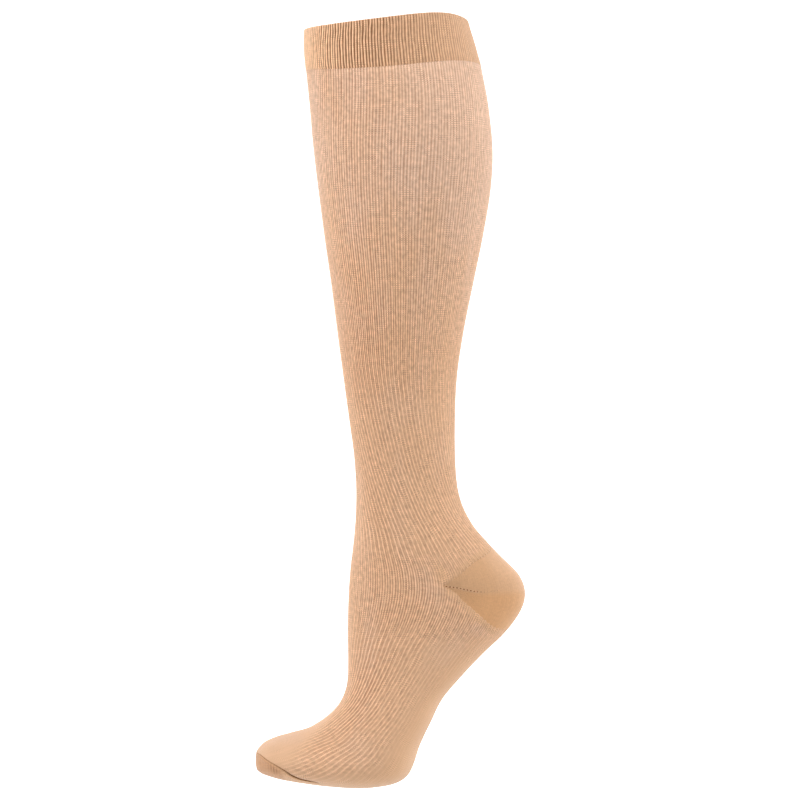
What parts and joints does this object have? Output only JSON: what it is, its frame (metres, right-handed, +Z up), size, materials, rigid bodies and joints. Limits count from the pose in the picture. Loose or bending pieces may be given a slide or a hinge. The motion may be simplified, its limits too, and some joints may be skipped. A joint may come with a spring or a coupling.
{
  "type": "compression stocking",
  "caption": "Tan closed-toe knee-high compression stocking with a ribbed knee band, heel pocket and linked toe seam, filled out on a raised heel.",
  "frame": {"origin": "middle of the knee band, on its axis, where the wearer's leg holds the stocking up", "axes": "+Z up along the leg, -X towards the toes and +X towards the heel, Y across; the stocking is symmetric about Y = 0"},
  "size_m": [0.1913, 0.1088, 0.5447],
  "materials": {
    "ribbed_knit_tan": "matt, fine ribbed double knit",
    "sheer_knit_rose_tan": "matt, fine elastic knit with narrow upright wales",
    "plain_knit_tan": "matt, smooth plain knit",
    "plain_knit_light_tan": "matt, smooth plain knit"
  },
  "bodies": {
    "root": {"cuff_welt": "ribbed_knit_tan", "leg_foot_tube": "sheer_knit_rose_tan", "heel_pocket": "plain_knit_tan", "toe_cap": "plain_knit_light_tan"}
  },
  "joints": []
}
